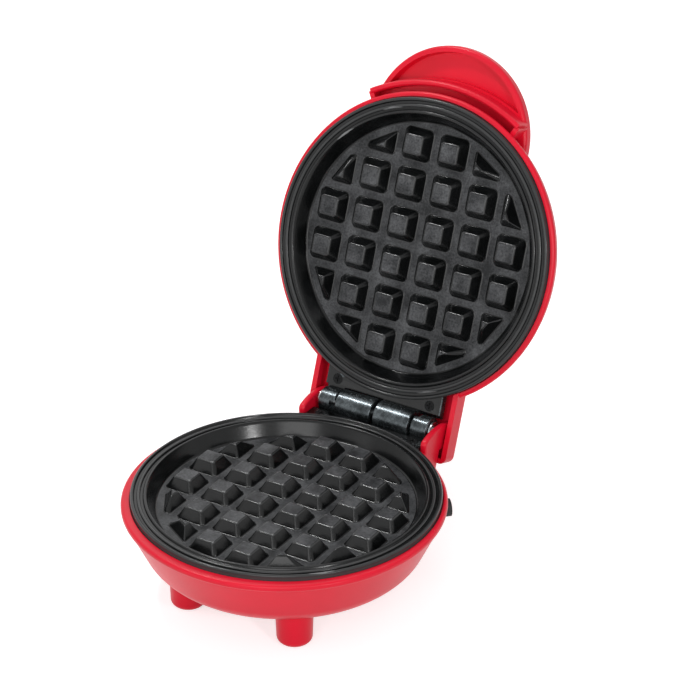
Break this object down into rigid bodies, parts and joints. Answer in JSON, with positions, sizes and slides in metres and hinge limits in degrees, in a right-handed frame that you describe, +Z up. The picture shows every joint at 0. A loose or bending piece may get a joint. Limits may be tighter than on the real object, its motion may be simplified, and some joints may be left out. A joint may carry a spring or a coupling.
{
  "type": "waffle maker",
  "caption": "Small round electric waffle maker with hinged lid, dark ribbed plates, front handle tongue and short feet, shown open.",
  "frame": {"origin": "on the table, in the middle of the open object's outline seen from above", "axes": "+X to the user's right when facing the handle side, +Y to the back where the hinge is, +Z up"},
  "size_m": [0.128, 0.2052, 0.1802],
  "materials": {
    "red_plastic": "satin-gloss moulded heat-resistant plastic, cherry red",
    "non_stick": "die-cast aluminium with a dark satin non-stick coating",
    "heater_sheath": "aluminium heater sheath, dull",
    "steel": "plain bright steel",
    "sheet_steel": "aluminised sheet steel",
    "black_screws": "black-finished steel screws",
    "black_rubber": "matt black rubber",
    "ivory_plastic": "heat-resistant ivory insulating plastic",
    "white_sleeve": "silicone insulation, off-white",
    "amber_lens": "clear amber plastic",
    "lamp_glass": "small neon lamp"
  },
  "bodies": {
    "base": {"base_shell": "red_plastic", "front_left_pad": "black_rubber", "front_right_pad": "black_rubber", "rear_left_pad": "black_rubber", "rear_right_pad": "black_rubber", "lower_plate": "non_stick", "lower_heater": "heater_sheath", "lower_heater_clips": "sheet_steel", "lower_reflector": "sheet_steel", "thermostat": "heater_sheath", "thermal_fuse": "steel", "terminal_block": "ivory_plastic", "cord_gland": "black_rubber", "cord_clamp": "ivory_plastic", "base_screws": "steel", "lower_lug_screws": "black_screws", "base_wires": "white_sleeve", "wire_grommet": "black_rubber", "hinge_pin": "steel", "pin_clips": "steel"},
    "lid": {"lid_shell": "red_plastic", "upper_plate": "non_stick", "upper_heater": "heater_sheath", "upper_heater_clips": "sheet_steel", "upper_reflector": "sheet_steel", "reflector_screws": "steel", "upper_lug_screws": "black_screws", "lamp_lens": "amber_lens", "lamp_holder": "ivory_plastic", "neon_lamp": "lamp_glass", "lid_wires": "white_sleeve"}
  },
  "joints": [
    {"name": "lid_hinge", "type": "hinge", "parent": "base", "child": "lid", "pos_m": [0, 0.03217, 0.0428], "axis": [1, 0, 0], "range_deg": [0, 110.7]}
  ]
}
